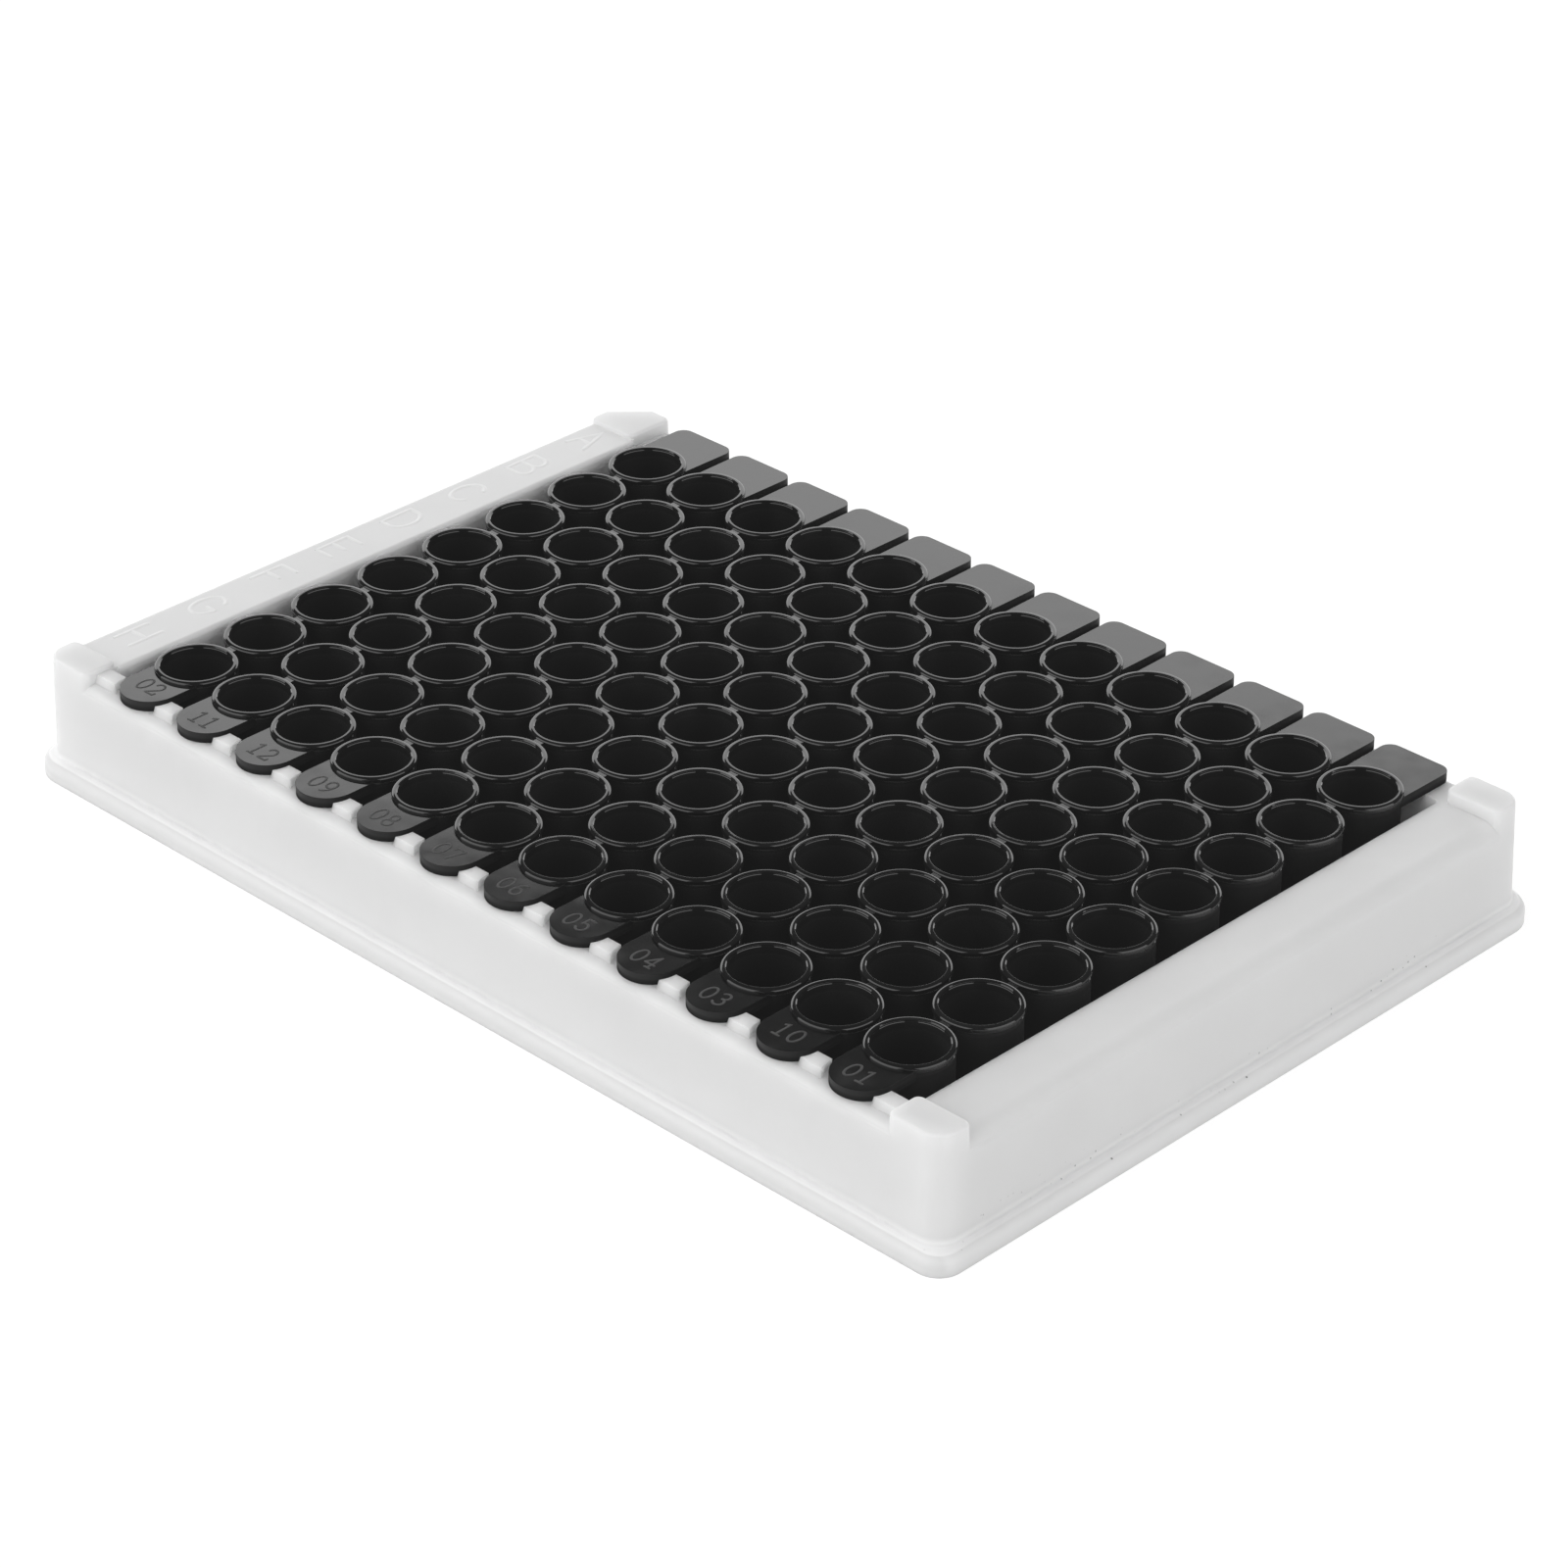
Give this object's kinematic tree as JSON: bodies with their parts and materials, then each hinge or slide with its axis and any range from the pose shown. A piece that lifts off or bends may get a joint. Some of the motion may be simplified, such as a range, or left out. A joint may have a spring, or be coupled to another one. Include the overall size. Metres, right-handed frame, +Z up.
{
  "type": "strip well plate",
  "caption": "White open microplate frame with a skirt, raised letters and a cut corner, holding loose black strips of round flat-bottom wells with numbered end tabs.",
  "frame": {"origin": "centre of the footprint, on the plane the frame stands on", "axes": "+X along the long side from column 1 to column 12, +Y from row H to row A, +Z up"},
  "size_m": [0.1278, 0.0854, 0.0135],
  "materials": {
    "frame": "moulded white plastic, satin",
    "strip": "moulded black plastic, semi-gloss"
  },
  "bodies": {
    "root": {"strip_frame": "frame", "strip_01": "strip", "strip_02": "strip", "strip_03": "strip", "strip_04": "strip", "strip_05": "strip", "strip_06": "strip", "strip_07": "strip", "strip_08": "strip", "strip_09": "strip", "strip_10": "strip", "strip_11": "strip", "strip_12": "strip"}
  },
  "joints": []
}
